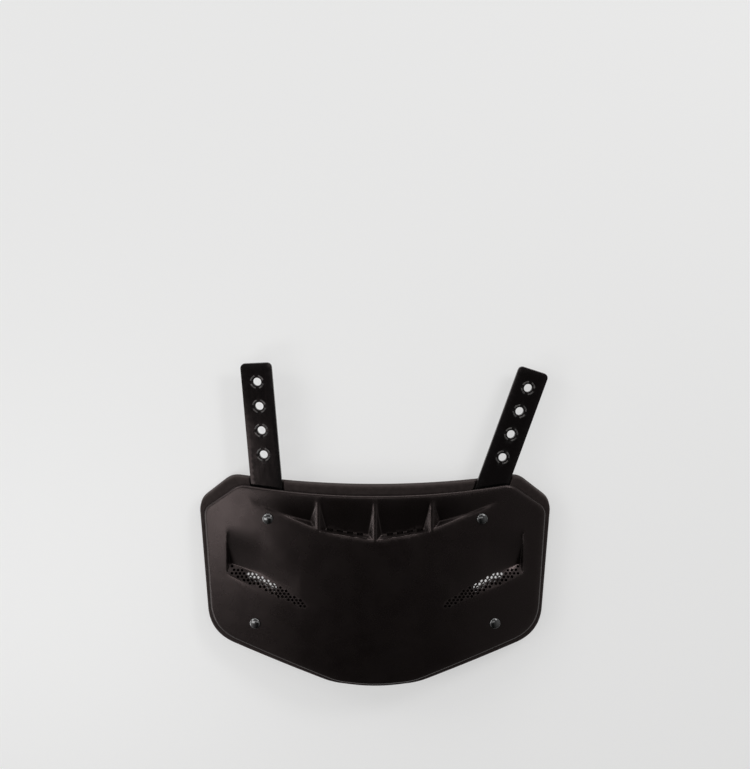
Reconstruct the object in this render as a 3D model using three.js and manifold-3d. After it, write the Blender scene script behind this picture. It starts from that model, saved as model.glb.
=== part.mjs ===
// Football back plate: a curved plastic shell on a foam pad, two stiff straps to hang it by, and four rivets.
// Millimetres. X runs across the plate, Y from its point towards the straps, Z out of its face.
// The plate lies on its pad, face up.
import * as THREE from "three";
import { mergeVertices } from "three/addons/utils/BufferGeometryUtils.js";
import Module from "manifold-3d";

const wasm = await Module();
wasm.setup();

// Curve of the plate: the sides drop back from the middle, and the side edges lean in towards the point.
const SIDE_DROP = 22;
const SIDE_HALF_WIDTH = 145.5;
const SIDE_LEAN = 0.068;

// Thicknesses, the gap left between pieces, and the narrow flat the pad rests on at each side.
const PAD = 11;
const WALL = 3;
const GAP = 0.3;
const REST_FLAT = 0.8;

// Slabs are bent from a box that is larger than the plate.
const SLAB = { width: 310, length: 200, middleY: -5, across: 20, along: 3 };
const TALL = 120;

// Half outlines from top middle to point. Each corner is rounded over its reach along both edges.
const PAD_CORNERS = [
  { x: 0, y: 76.2, reach: 108 },
  { x: 121.2, y: 86.3, reach: 7 },
  { x: 149.7, y: 62.2, reach: 9 },
  { x: 141.8, y: -53.9, reach: 22 },
  { x: 37, y: -92.4, reach: 8 },
  { x: 0, y: -96.6, reach: 20 },
];
const SHELL_CORNERS = [
  { x: 0, y: 67.6, reach: 106 },
  { x: 115.5, y: 80.1, reach: 6 },
  { x: 145.6, y: 57.2, reach: 7 },
  { x: 139.7, y: -49.5, reach: 22 },
  { x: 33, y: -90.7, reach: 8 },
  { x: 0, y: -94.1, reach: 18 },
];
const CORNER_STEPS = 5;

// Scoops on the right half. The floor starts flush at yStart and sinks to depth at yDeep.
// From there a ledge climbs back to the face at yEdge.
const SIDE_SCOOP = [
  { x: 126.3, xDeep: 124.3, yStart: 35.5, yDeep: 8.8, yEdge: 1.2, depth: 7.5 },
  { x: 97.5, xDeep: 97.5, yStart: 34.5, yDeep: 2.1, yEdge: -12.3, depth: 3.1 },
  { x: 58, xDeep: 58, yStart: 5, yDeep: -20, yEdge: -28.3, depth: 0.15 },
];
const TOP_WING = [
  { x: 49.5, xDeep: 55.5, yStart: 66.5, yDeep: 47.6, yEdge: 43.6, depth: 6.5 },
  { x: 78, xDeep: 78, yStart: 69.5, yDeep: 55.8, yEdge: 54.2, depth: 1.8 },
  { x: 114.5, xDeep: 114.5, yStart: 73.4, yDeep: 69.8, yEdge: 68.4, depth: 0.15 },
];
const TOP_BAY = [
  { x: 47, xDeep: 41, yStart: 66.5, yDeep: 43.2, yEdge: 42.2, depth: 6.3 },
  { x: 1.2, xDeep: 5.5, yStart: 66, yDeep: 37.8, yEdge: 34.3, depth: 5 },
];
const SCOOPS = [SIDE_SCOOP, TOP_WING, TOP_BAY];
const SCOOP_STEPS = 4;

// Hollows are cut from this far above the face, and the moulding round them stays this far under it.
const LID = 4;
const SKIN = 1;

// Vents: a staggered field of small holes on each side ledge, and a row of slots at the foot of each top bay.
const PERFORATION = { radius: 1.05, pitch: 3.5, margin: 1.4, xFrom: 60, xTo: 123, sides: 6 };
const SLOT = { count: 4, firstX: 12.7, pitch: 8.47, length: 5.5, width: 1.8, rise: 0.143, lift: -0.6 };

// The window in the pad behind the middle of each side ledge, as corners on the right half.
const WINDOW = [
  { x: 109.5, y: 2.4 },
  { x: 109.5, y: -4.1 },
  { x: 97.5, y: -6.9 },
  { x: 84, y: -14.4 },
  { x: 84, y: -8 },
  { x: 97.5, y: -0.4 },
];

// Straps: flat strips behind the shell at the upper rivets. Their lengths are taken from the rivet.
const STRAP = { width: 27, above: 133.5, thick: 2.6, sink: 2.5, corner: 4, room: 1.5 };
const STRAP_LEAN = { left: 4.6, right: -19.8 };
const STRAP_HOLE = { radius: 3.5, count: 4, first: 54.5, pitch: 21 };
const RING = { inner: 4.6, outer: 6.1, rise: 0.8, arcs: 4, sweep: 58, steps: 2 };

// Rivets: a dome on the shell, a shank through the pad, and a flat tail sunk in the back of the pad.
const UPPER_RIVET = { x: 90.3, y: 51.7 };
const LOWER_RIVET = { x: 101.8, y: -41.5 };
const RIVET = { shank: 2.4, room: 0.5, head: 4.7, dome: 2.3, brim: 0.5, sides: 14 };
const TAIL = { radius: 5.5, thick: 1.2 };
const COUNTERBORE = { radius: 6.3, depth: 3 };
const DOME_STEPS = 3;
const STRAP_STEPS = 5;

// Corners closer than this are one point, and slopes are taken over this step.
const SAME_POINT = 1e-4;
const SLOPE_STEP = 0.01;

// Half width of the plate at height y, and the arch that the whole stack follows.
const halfWidth = (y) => SIDE_HALF_WIDTH + SIDE_LEAN * y;
const arch = (x, y) => SIDE_DROP * (1 - (x / halfWidth(y)) ** 2);
const padBack = (x, y) => arch(x, y) - REST_FLAT;
const padFront = (x, y) => padBack(x, y) + PAD;
const shellBack = (x, y) => padFront(x, y) + GAP;
const shellFront = (x, y) => shellBack(x, y) + WALL;

// A geometry as a closed solid that can be added to and cut.
function solid(geometry) {
  const bare = geometry.clone();
  bare.deleteAttribute("normal");
  bare.deleteAttribute("uv");
  const merged = mergeVertices(bare, SAME_POINT);
  const vertProperties = merged.attributes.position.array;
  const triVerts = new Uint32Array(merged.index.array);
  return new wasm.Manifold(new wasm.Mesh({ numProp: 3, vertProperties, triVerts }));
}

const both = (right) => right.add(right.mirror([1, 0, 0]));

// A wide slab between two height functions.
function bentSlab(lower, upper) {
  const box = new THREE.BoxGeometry(SLAB.width, SLAB.length, 1, SLAB.across, SLAB.along, 1);
  box.translate(0, SLAB.middleY, 0);
  const at = box.attributes.position;
  for (let i = 0; i < at.count; i += 1) {
    const height = at.getZ(i) > 0 ? upper : lower;
    at.setZ(i, height(at.getX(i), at.getY(i)));
  }
  return solid(box);
}

// A closed outline from half a table of corners, mirrored, with each corner rounded over its reach.
function outline(corners) {
  const left = corners.filter((c) => c.x > 0).map((c) => ({ ...c, x: -c.x }));
  const loop = [...corners, ...left.reverse()];
  const points = loop.map((c) => new THREE.Vector2(c.x, c.y));
  const shape = new THREE.Shape();
  points.forEach((at, i) => {
    const before = points.at(i - 1);
    const after = points[(i + 1) % points.length];
    const start = before.clone().sub(at).setLength(loop[i].reach).add(at);
    const end = after.clone().sub(at).setLength(loop[i].reach).add(at);
    if (i === 0) shape.moveTo(start.x, start.y);
    else shape.lineTo(start.x, start.y);
    shape.quadraticCurveTo(at.x, at.y, end.x, end.y);
  });
  shape.closePath();
  return shape;
}

// Shapes drawn in plan as upright prisms that pass right through the plate.
function prism(shapes, curveSegments) {
  const geometry = new THREE.ExtrudeGeometry(shapes, { depth: TALL, bevelEnabled: false, curveSegments });
  geometry.translate(0, 0, -TALL / 2);
  return solid(geometry);
}

const polygon = (corners) => new THREE.Shape(corners.map((c) => new THREE.Vector2(c.x, c.y)));

// A closed skin through rings of equal count, with a fan across each end.
function loft(rings) {
  const count = rings[0].length;
  const points = rings.flat();
  const index = [];
  for (let r = 0; r + 1 < rings.length; r += 1) {
    for (let i = 0; i < count; i += 1) {
      const a = r * count + i;
      const b = r * count + ((i + 1) % count);
      index.push(a, b, b + count, a, b + count, a + count);
    }
  }
  const last = points.length - count;
  for (let i = 1; i + 1 < count; i += 1) {
    index.push(0, i + 1, i);
    index.push(last, last + i, last + i + 1);
  }
  return new THREE.BufferGeometry().setFromPoints(points).setIndex(index);
}

// The row of a table at a share of its length.
function rowAt(rows, share) {
  const place = share * (rows.length - 1);
  const from = Math.min(Math.floor(place), rows.length - 2);
  const row = {};
  for (const column of Object.keys(rows[0])) {
    row[column] = THREE.MathUtils.lerp(rows[from][column], rows[from + 1][column], place - from);
  }
  return row;
}

// A scoop as a solid. Grown by nothing it is the hollow, and grown by the wall it is the moulding round it.
function scoop(rows, grow, lid) {
  const outward = Math.sign(rows[0].x - rows.at(-1).x);
  const rings = [];
  for (let i = 0; i <= SCOOP_STEPS; i += 1) {
    const share = i / SCOOP_STEPS;
    const row = rowAt(rows, share);
    const shift = outward * grow * (1 - 2 * share);
    const point = (x, y, sink) => new THREE.Vector3(x + shift, y, shellFront(x + shift, y) - sink);
    rings.push([
      point(row.x, row.yStart + grow, grow),
      point(row.xDeep, row.yDeep, row.depth + grow),
      point(row.x, row.yEdge - grow, grow),
      point(row.x, row.yEdge - grow, -lid),
      point(row.x, row.yStart + grow, -lid),
    ]);
  }
  return solid(loft(outward > 0 ? rings : rings.reverse()));
}

const scoops = (grow, lid) => SCOOPS.map((rows) => scoop(rows, grow, lid)).reduce((all, one) => all.add(one));

// Limits of the side ledge at a distance x from the middle.
function ledgeAt(x) {
  const next = Math.max(1, SIDE_SCOOP.findIndex((row) => row.x <= x));
  const [outer, inner] = [SIDE_SCOOP[next - 1], SIDE_SCOOP[next]];
  const share = (outer.x - x) / (outer.x - inner.x);
  return {
    top: THREE.MathUtils.lerp(outer.yDeep, inner.yDeep, share),
    bottom: THREE.MathUtils.lerp(outer.yEdge, inner.yEdge, share),
  };
}

// The staggered holes that fit on the side ledge.
function perforations() {
  const { radius, pitch, margin, xFrom, xTo, sides } = PERFORATION;
  const rowStep = (pitch * Math.sqrt(3)) / 2;
  const top = SIDE_SCOOP[0].yDeep;
  const rows = Math.floor((top - SIDE_SCOOP.at(-1).yEdge) / rowStep);
  const holes = [];
  for (let row = 0; row <= rows; row += 1) {
    const y = top - row * rowStep;
    for (let x = xFrom + (row % 2) * (pitch / 2); x <= xTo; x += pitch) {
      const ledge = ledgeAt(x);
      if (y < ledge.bottom + margin || y > ledge.top - margin) continue;
      const hole = new THREE.Shape();
      hole.absarc(x, y, radius, 0, 2 * Math.PI);
      holes.push(hole);
    }
  }
  return prism(holes, sides / 2);
}

// The slots at the foot of a top bay, along the line of its ledge.
function slots() {
  const shapes = [];
  const turn = Math.atan(SLOT.rise);
  const origin = new THREE.Vector2();
  for (let i = 0; i < SLOT.count; i += 1) {
    const x = SLOT.firstX + i * SLOT.pitch;
    const foot = rowAt(TOP_BAY, (TOP_BAY[0].x - x) / (TOP_BAY[0].x - TOP_BAY[1].x));
    const corners = [[-1, -1], [1, -1], [1, 1], [-1, 1]].map(([along, across]) =>
      new THREE.Vector2((along * SLOT.length) / 2, (across * SLOT.width) / 2)
        .rotateAround(origin, turn)
        .add(new THREE.Vector2(x, foot.yDeep + SLOT.lift)),
    );
    shapes.push(new THREE.Shape(corners));
  }
  return prism(shapes, 1);
}

// The frame at a rivet: its origin on the back of the shell, its Z along the outward normal there.
function seat({ x, y }) {
  const slopeX = (shellBack(x + SLOPE_STEP, y) - shellBack(x, y)) / SLOPE_STEP;
  const slopeY = (shellBack(x, y + SLOPE_STEP) - shellBack(x, y)) / SLOPE_STEP;
  const normal = new THREE.Vector3(-slopeX, -slopeY, 1).normalize();
  const turn = new THREE.Quaternion().setFromUnitVectors(new THREE.Vector3(0, 0, 1), normal);
  const foot = new THREE.Vector3(x, y, shellBack(x, y));
  return new THREE.Matrix4().makeRotationFromQuaternion(turn).setPosition(foot);
}

const mirrored = ({ x, y }) => ({ x: -x, y });
const RIVETS = {
  rivet_upper_left: mirrored(UPPER_RIVET),
  rivet_upper_right: UPPER_RIVET,
  rivet_lower_left: mirrored(LOWER_RIVET),
  rivet_lower_right: LOWER_RIVET,
};

// A turned solid at a rivet, from a profile of radius and height.
function turned(profile, place) {
  const points = profile.map(([radius, height]) => new THREE.Vector2(radius, height));
  const geometry = new THREE.LatheGeometry(points, RIVET.sides);
  geometry.rotateX(Math.PI / 2);
  return solid(geometry.applyMatrix4(seat(place)));
}

const rod = (radius, low, high) => [[0, low], [radius, low], [radius, high], [0, high]];
const PAD_BACK_LEVEL = -GAP - PAD;
const SHANK_BORE = rod(RIVET.shank + RIVET.room, -TALL / 2, TALL / 2);
const TAIL_BORE = rod(COUNTERBORE.radius, -TALL / 2, PAD_BACK_LEVEL + COUNTERBORE.depth);

// Profile of one rivet from the tail to the top of the dome.
function rivetProfile() {
  const { shank, head, dome, brim } = RIVET;
  const tailTop = PAD_BACK_LEVEL + COUNTERBORE.depth - GAP;
  const tailFoot = tailTop - TAIL.thick;
  const headFoot = WALL + GAP;
  const profile = [[0, tailFoot], [TAIL.radius, tailFoot], [TAIL.radius, tailTop]];
  profile.push([shank, tailTop], [shank, headFoot], [head, headFoot]);
  for (let i = 0; i <= DOME_STEPS; i += 1) {
    const angle = (i / DOME_STEPS) * (Math.PI / 2);
    const radius = i < DOME_STEPS ? head * Math.cos(angle) : 0;
    profile.push([radius, headFoot + brim + (dome - brim) * Math.sin(angle)]);
  }
  return profile;
}

// Outline of a strap from its rounded foot under the rivet to its top end, in the frame of the rivet.
function strapShape(grow) {
  const half = STRAP.width / 2 + grow;
  const top = STRAP.above + grow;
  const corner = STRAP.corner + grow;
  const shape = new THREE.Shape();
  shape.moveTo(half, 0);
  shape.lineTo(half, top - corner);
  shape.absarc(half - corner, top - corner, corner, 0, Math.PI / 2);
  shape.lineTo(corner - half, top);
  shape.absarc(corner - half, top - corner, corner, Math.PI / 2, Math.PI);
  shape.lineTo(-half, 0);
  shape.absarc(0, 0, half, Math.PI, 2 * Math.PI);
  return shape;
}

function circle(y, radius) {
  const path = new THREE.Path();
  path.absarc(0, y, radius, 0, 2 * Math.PI, true);
  return path;
}

// A flat layer of a strap between two levels under the back of the shell.
function strapLayer(shapes, low, high, place, lean) {
  const options = { depth: high - low, bevelEnabled: false, curveSegments: STRAP_STEPS };
  const geometry = new THREE.ExtrudeGeometry(shapes, options);
  geometry.translate(0, 0, low);
  geometry.rotateZ(THREE.MathUtils.degToRad(lean));
  return solid(geometry.applyMatrix4(seat(place)));
}

// The raised broken ring round a strap hole, as separate arcs between the four quarters.
function ringArcs(y) {
  const sweep = THREE.MathUtils.degToRad(RING.sweep);
  const arcs = [];
  for (let i = 0; i < RING.arcs; i += 1) {
    const middle = ((i + 0.5) / RING.arcs) * 2 * Math.PI;
    const corners = [];
    for (let s = 0; s <= RING.steps; s += 1) {
      const angle = middle + sweep * (s / RING.steps - 0.5);
      corners.push(new THREE.Vector2(Math.cos(angle), Math.sin(angle)));
    }
    const outer = corners.map((c) => c.clone().multiplyScalar(RING.outer));
    const inner = corners.map((c) => c.clone().multiplyScalar(RING.inner)).reverse();
    arcs.push(new THREE.Shape([...outer, ...inner].map((c) => c.setY(c.y + y))));
  }
  return arcs;
}

const STRAP_FRONT = -STRAP.sink;
const STRAP_BACK = STRAP_FRONT - STRAP.thick;

function strap(place, lean) {
  const shape = strapShape(0);
  const rings = [];
  shape.holes.push(circle(0, RIVET.shank + RIVET.room));
  for (let i = 0; i < STRAP_HOLE.count; i += 1) {
    const y = STRAP_HOLE.first + i * STRAP_HOLE.pitch;
    shape.holes.push(circle(y, STRAP_HOLE.radius));
    rings.push(...ringArcs(y));
  }
  const body = strapLayer([shape], STRAP_BACK, STRAP_FRONT, place, lean);
  const overlap = STRAP.thick / 2;
  return body.add(strapLayer(rings, STRAP_FRONT - overlap, STRAP_FRONT + RING.rise, place, lean));
}

// The room that a strap needs in the pad.
function strapPocket(place, lean) {
  return strapLayer([strapShape(STRAP.room)], STRAP_BACK - GAP, TALL / 2, place, lean);
}

// Shell: a bent slab cut to its outline, with the scoops moulded in, then the vents and rivet holes.
function shell() {
  let body = bentSlab(shellBack, shellFront).intersect(prism([outline(SHELL_CORNERS)], CORNER_STEPS));
  body = body.add(both(scoops(WALL, -SKIN)));
  body = body.subtract(both(scoops(0, LID)));
  body = body.subtract(both(perforations().add(slots())));
  for (const place of Object.values(RIVETS)) body = body.subtract(turned(SHANK_BORE, place));
  return body;
}

// Pad: a bent slab cut to its own wider outline, with room for scoops, straps and rivets, and its windows.
// It is flat where it rests.
function pad() {
  const below = new THREE.BoxGeometry(SLAB.width, 2 * SLAB.length, TALL).translate(0, 0, -TALL / 2);
  let body = bentSlab(padBack, padFront).intersect(prism([outline(PAD_CORNERS)], CORNER_STEPS));
  body = body.subtract(both(scoops(WALL + 2 * GAP, LID)));
  body = body.subtract(both(prism([polygon(WINDOW)], 1)));
  body = body.subtract(strapPocket(mirrored(UPPER_RIVET), STRAP_LEAN.left));
  body = body.subtract(strapPocket(UPPER_RIVET, STRAP_LEAN.right));
  for (const place of Object.values(RIVETS)) {
    body = body.subtract(turned(SHANK_BORE, place)).subtract(turned(TAIL_BORE, place));
  }
  return body.subtract(solid(below));
}

const FINISH = {
  shell: { color: 0x1d1a1a, roughness: 0.45, metalness: 0 },
  pad: { color: 0x2e2a2b, roughness: 0.95, metalness: 0 },
  strap: { color: 0x0d0d0e, roughness: 0.25, metalness: 0 },
  rivet: { color: 0x3a3a3c, roughness: 0.3, metalness: 0.9 },
};

function mesh(name, body, finish) {
  const { vertProperties, triVerts } = body.getMesh();
  const geometry = new THREE.BufferGeometry();
  geometry.setAttribute("position", new THREE.BufferAttribute(vertProperties, 3));
  geometry.setIndex(new THREE.BufferAttribute(triVerts, 1));
  geometry.computeVertexNormals();
  const made = new THREE.Mesh(geometry, new THREE.MeshStandardMaterial(finish));
  made.name = name;
  return made;
}

const plate = new THREE.Group();
plate.name = "back_plate";
plate.add(mesh("shell", shell(), FINISH.shell));
plate.add(mesh("foam_pad", pad(), FINISH.pad));
plate.add(mesh("strap_left", strap(mirrored(UPPER_RIVET), STRAP_LEAN.left), FINISH.strap));
plate.add(mesh("strap_right", strap(UPPER_RIVET, STRAP_LEAN.right), FINISH.strap));
for (const [name, place] of Object.entries(RIVETS)) {
  plate.add(mesh(name, turned(rivetProfile(), place), FINISH.rivet));
}

// The origin lies on the floor under the middle of the whole part.
const box = new THREE.Box3().setFromObject(plate);
plate.position.y = -(box.min.y + box.max.y) / 2;

export default plate;
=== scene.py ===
# %% [markdown]
# # A football back plate
# This lesson dresses a back plate: a curved black shell on a foam pad, with two stiff drilled straps and
# four rivets. The solid of every piece is already packed as a frame, in metres, lying face up on the
# floor with +Y towards the straps. We load it first, because each new piece has to sit where its solid
# sits.

# %% Load the frame
import math
from collections import namedtuple
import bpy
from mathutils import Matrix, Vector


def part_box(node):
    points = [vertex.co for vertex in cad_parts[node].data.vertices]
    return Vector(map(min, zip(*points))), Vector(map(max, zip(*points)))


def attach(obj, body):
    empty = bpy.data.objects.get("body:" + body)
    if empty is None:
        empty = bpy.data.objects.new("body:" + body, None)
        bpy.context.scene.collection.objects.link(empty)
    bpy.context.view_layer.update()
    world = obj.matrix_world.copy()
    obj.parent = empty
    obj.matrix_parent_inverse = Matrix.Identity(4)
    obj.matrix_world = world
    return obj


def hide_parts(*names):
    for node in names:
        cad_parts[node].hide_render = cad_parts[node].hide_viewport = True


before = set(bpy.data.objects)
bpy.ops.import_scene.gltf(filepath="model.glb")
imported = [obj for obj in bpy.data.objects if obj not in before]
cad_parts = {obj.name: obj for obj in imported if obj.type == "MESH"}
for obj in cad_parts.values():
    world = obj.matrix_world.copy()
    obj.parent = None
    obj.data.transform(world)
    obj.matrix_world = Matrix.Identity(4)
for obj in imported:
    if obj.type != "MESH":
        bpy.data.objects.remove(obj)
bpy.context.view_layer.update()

from types import SimpleNamespace

import bpy
import numpy as np
from mathutils import Matrix, Vector, kdtree
from mathutils.geometry import delaunay_2d_cdt

MM = 0.001
print("nodes:", ", ".join(sorted(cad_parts)))

# %% [markdown]
# ## The curve that everything follows
# The plate wraps round the small of the back, so its sides drop back from the middle in one even arch.
# Pad, shell and straps are stacked along that arch. A curve modifier could bend flat pieces, but a height
# formula is exact and is the same one that the solids follow, so we write the arch as a function of a
# place in plan. Sizes in the tables are millimetres, measured from a datum in the middle of the face.

# %% Arch and thicknesses
SIDE_DROP = 22.0
SIDE_HALF_WIDTH = 145.5
SIDE_LEAN = 0.068
PAD_THICK = 11.0
WALL = 3.0
GAP = 0.3
REST_FLAT = 0.8
SLOPE_STEP = 0.01


def arch(x, y):
    """Height of the arch over its feet at a place in plan."""
    return SIDE_DROP * (1 - (x / (SIDE_HALF_WIDTH + SIDE_LEAN * y)) ** 2)


def slopes(x, y):
    """Slope of the arch along x and along y."""
    here = arch(x, y)
    return (arch(x + SLOPE_STEP, y) - here) / SLOPE_STEP, (arch(x, y + SLOPE_STEP) - here) / SLOPE_STEP


def plain_pad_back(x, y):
    return arch(x, y) - REST_FLAT


def plain_shell_back(x, y):
    return plain_pad_back(x, y) + PAD_THICK + GAP


print("face stands", plain_shell_back(0, 0) + WALL, "mm over the floor")

# %% [markdown]
# ## Outlines
# Both the shell and the pad are cut to a wide shield: a top edge that sags a little, clipped upper
# corners, and a blunt point below. A Bezier curve object would do, but we also need rings just inside the
# edge for rounding it, so each outline is a plain loop of points. A short table gives the corners of the
# right half, and each corner is rounded over a reach along both of its edges.

# %% Outline loops
Corner = namedtuple("Corner", "x y reach")
PAD_CORNERS = [
    Corner(0, 76.2, 108),
    Corner(121.2, 86.3, 7),
    Corner(149.7, 62.2, 9),
    Corner(141.8, -53.9, 22),
    Corner(37, -92.4, 8),
    Corner(0, -96.6, 20),
]
SHELL_CORNERS = [
    Corner(0, 67.6, 106),
    Corner(115.5, 80.1, 6),
    Corner(145.6, 57.2, 7),
    Corner(139.7, -49.5, 22),
    Corner(33, -90.7, 8),
    Corner(0, -94.1, 18),
]
CORNER_STEPS = 24
LOOP_STEP = 1.2


def even_loop(track, spacing):
    """A closed track of points walked in even steps."""
    closed = np.vstack([track, track[:1]])
    length = np.concatenate([[0], np.cumsum(np.linalg.norm(np.diff(closed, axis=0), axis=1))])
    stations = np.linspace(0, length[-1], round(length[-1] / spacing), endpoint=False)
    return np.stack([np.interp(stations, length, closed[:, axis]) for axis in (0, 1)], 1)


def rounded_loop(corners, spacing=LOOP_STEP):
    """An even anticlockwise loop through a clockwise list of corners, each rounded over its reach."""
    places = np.array([(c.x, c.y) for c in corners], float)
    share = np.linspace(0, 1, CORNER_STEPS)[:, None]
    track = []
    for i, corner in enumerate(corners):
        middle = places[i]
        toward = [places[i - 1] - middle, places[(i + 1) % len(corners)] - middle]
        start, end = (middle + corner.reach * way / np.linalg.norm(way) for way in toward)
        track.append((1 - share) ** 2 * start + 2 * share * (1 - share) * middle + share**2 * end)
    return even_loop(np.vstack(track)[::-1], spacing)


def mirrored_corners(right_half):
    """The whole clockwise list from its right half, which runs from top middle to bottom middle."""
    return [*right_half, *(Corner(-c.x, c.y, c.reach) for c in reversed(right_half) if c.x > 0)]


def circle_loop(x, y, radius, sides):
    """An anticlockwise circle."""
    turn = np.linspace(0, 2 * math.pi, sides, endpoint=False)
    return np.stack([x + radius * np.cos(turn), y + radius * np.sin(turn)], 1)


pad_loop = rounded_loop(mirrored_corners(PAD_CORNERS))
shell_loop = rounded_loop(mirrored_corners(SHELL_CORNERS))
SHIFT_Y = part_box("foam_pad")[0].y / MM - pad_loop[:, 1].min()
print("pad", np.ptp(pad_loop, 0).round(1), "mm, shell", np.ptp(shell_loop, 0).round(1), "mm")
print("datum lies at y =", round(SHIFT_Y, 2), "mm in the frame")

# %% [markdown]
# ## The camera
# The view is almost square to the face, from a little above it and from well back, so lines hardly
# converge. We sight the datum of the face at the pixel where the picture shows it, and work the lens out
# from the real size of a pixel at that distance. No shift is needed, because the camera simply looks a
# little past the plate.

# %% Camera
PICTURE = (750, 769)
DATUM_PIXEL_Y = 580
PIXEL = 0.85 * MM
DISTANCE = 2.6
VIEW_TILT = math.radians(16)

datum = Vector((0, SHIFT_Y, plain_shell_back(0, 0) + WALL)) * MM
camera = bpy.data.objects.new("camera", bpy.data.cameras.new("camera"))
bpy.context.scene.collection.objects.link(camera)
camera.data.lens = camera.data.sensor_width * DISTANCE / (PIXEL * max(PICTURE))
camera.location = datum + DISTANCE * Vector((0, math.sin(VIEW_TILT), math.cos(VIEW_TILT)))
camera.rotation_euler.x = math.atan((DATUM_PIXEL_Y - PICTURE[1] / 2) * PIXEL / DISTANCE) - VIEW_TILT
bpy.context.scene.camera = camera
print("lens", round(camera.data.lens, 1), "mm at", [round(v, 3) for v in camera.location])

# %% [markdown]
# ## Scoops
# The shell is stiffened and vented by scoops pressed into its face: one long scoop on each side with a
# perforated ledge, and along the top two outer wings and two inner bays with ribs left standing between
# them. In every scoop the floor rolls in softly from above, meets a ledge at its deepest line, and the
# ledge climbs back to the face. Sculpting them would be hard to repeat, so each is a table of sections
# and a depth formula. The floor, the ledge and the end walls are separate slopes, and the shallowest of
# them wins, with a soft turn where two meet.

# %% Scoop tables
Section = namedtuple("Section", "x x_deep y_start y_deep y_edge depth")
SIDE_SCOOP = [
    Section(126.3, 124.3, 35.5, 8.8, 1.2, 7.5),
    Section(97.5, 97.5, 34.5, 2.1, -12.3, 3.1),
    Section(58, 58, 5, -20, -28.3, 0.15),
]
TOP_WING = [
    Section(49.5, 55.5, 66.5, 47.6, 43.6, 6.5),
    Section(78, 78, 69.5, 55.8, 54.2, 1.8),
    Section(114.5, 114.5, 73.4, 69.8, 68.4, 0.15),
]
TOP_BAY = [
    Section(47, 41, 66.5, 43.2, 42.2, 6.3),
    Section(1.2, 5.5, 66, 37.8, 34.3, 5),
]
SCOOPS = [SIDE_SCOOP, TOP_WING, TOP_BAY]
FLOOR_START = 0.33
CREASE = 0.8
STEEPEST = 3.0
FADE = 0.25
LEAST_DEPTH = 0.15
FEATHER = 0.3
deepest = max(row.depth for rows in SCOOPS for row in rows)
print(len(SCOOPS), "scoops on each half, at most", deepest, "mm deep")

# %% Sections of a scoop
def smooth_min(a, b, soft):
    """The smaller of two slopes, rounded where they meet."""
    share = np.clip(0.5 + 0.5 * (b - a) / soft, 0, 1)
    return b + (a - b) * share - soft * share * (1 - share)


def smooth_max(a, b, soft):
    return -smooth_min(-a, -b, soft)


def section_at(rows, x):
    """A scoop's section at x: straight between its rows, softly joined, and faded out at a shallow end."""
    x = np.clip(x, *sorted((rows[0].x, rows[-1].x)))
    section = {}
    for column in ("y_start", "y_deep", "y_edge", "depth"):
        lines = []
        for one, two in zip(rows, rows[1:]):
            slope = (getattr(two, column) - getattr(one, column)) / (two.x - one.x)
            lines.append((getattr(one, column), slope, one.x))
        values = [start + slope * (x - at) for start, slope, at in lines]
        if len(lines) == 2:
            start, slope, at = lines[1]
            join = smooth_max if getattr(rows[0], column) > start + slope * (rows[0].x - at) else smooth_min
            values = [join(*values, CREASE)]
        section[column] = values[0]
    deepest = max(row.depth for row in rows)
    lost = LEAST_DEPTH + FEATHER
    section["depth"] = smooth_max(section["depth"] - lost, 0, FEATHER) * deepest / (deepest - lost)
    return SimpleNamespace(**section)


middle = section_at(SIDE_SCOOP, SIDE_SCOOP[1].x)
print("middle of the side scoop:", {name: round(value, 1) for name, value in vars(middle).items()})

# %% Depth of the scoops
def climbs(rows, section, x, y, grow):
    """Height and slope of the ledge and of both ends of a scoop."""
    slope = section.depth / (section.y_deep - section.y_edge + grow)
    yield slope * (y - section.y_edge + grow), slope
    for end, other in ((rows[0], rows[-1]), (rows[-1], rows[0])):
        draft = abs(end.x - end.x_deep)
        slope = end.depth / draft if draft else FADE
        yield slope * (math.copysign(1, other.x - end.x) * (x - end.x) + grow), slope


def scoop_depth(rows, x, y, grow):
    """Depth of one scoop on the right half, with its sides moved outwards by grow."""
    section = section_at(rows, x)
    start = section.y_start + grow
    run = (start - y) / (start - section.y_deep)
    depth = section.depth * smooth_max(run, 0, FLOOR_START)
    for height, slope in climbs(rows, section, x, y, grow):
        soft = CREASE * np.clip(slope, 1, STEEPEST)
        depth = smooth_min(depth, smooth_max(height, 0, soft), soft)
    return np.maximum(depth, 0)


def scoops(x, y, grow=0.0):
    """Depth of the face's scoops at a place in plan."""
    return np.maximum.reduce([scoop_depth(rows, np.abs(x), y, grow) for rows in SCOOPS])


def shell_front(x, y):
    return plain_shell_back(x, y) + WALL - scoops(x, y)


def shell_back(x, y):
    return plain_shell_back(x, y) - scoops(x, y, WALL)


FEET_X = (118, 62, 30)
feet = np.array([(x, section_at(rows, x).y_deep) for rows, x in zip(SCOOPS, FEET_X)])
print("depth at the feet of the scoops:", scoops(*feet.T).round(2), "mm")

# %% [markdown]
# ## Holes that lean
# Each rivet stands square to the arch where it is set, so the holes that it goes through lean with it.
# The plates below are made from points in plan, which would give upright holes. We therefore slide the
# points round a rivet sideways, in step with their height over or under its seat, and fade the slide out
# a little further away.

# %% Rivet places
Lean = namedtuple("Lean", "middle soft")
UPPER_RIVET = (90.3, 51.7)
LOWER_RIVET = (101.8, -41.5)
RIVETS = {
    "rivet_upper_left": (-UPPER_RIVET[0], UPPER_RIVET[1]),
    "rivet_upper_right": UPPER_RIVET,
    "rivet_lower_left": (-LOWER_RIVET[0], LOWER_RIVET[1]),
    "rivet_lower_right": LOWER_RIVET,
}


def step_share(distance, half_width):
    """One inside a border and nothing outside, with a soft step across it."""
    share = np.clip(0.5 - distance / (2 * half_width), 0, 1)
    return share * share * (3 - 2 * share)


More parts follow.
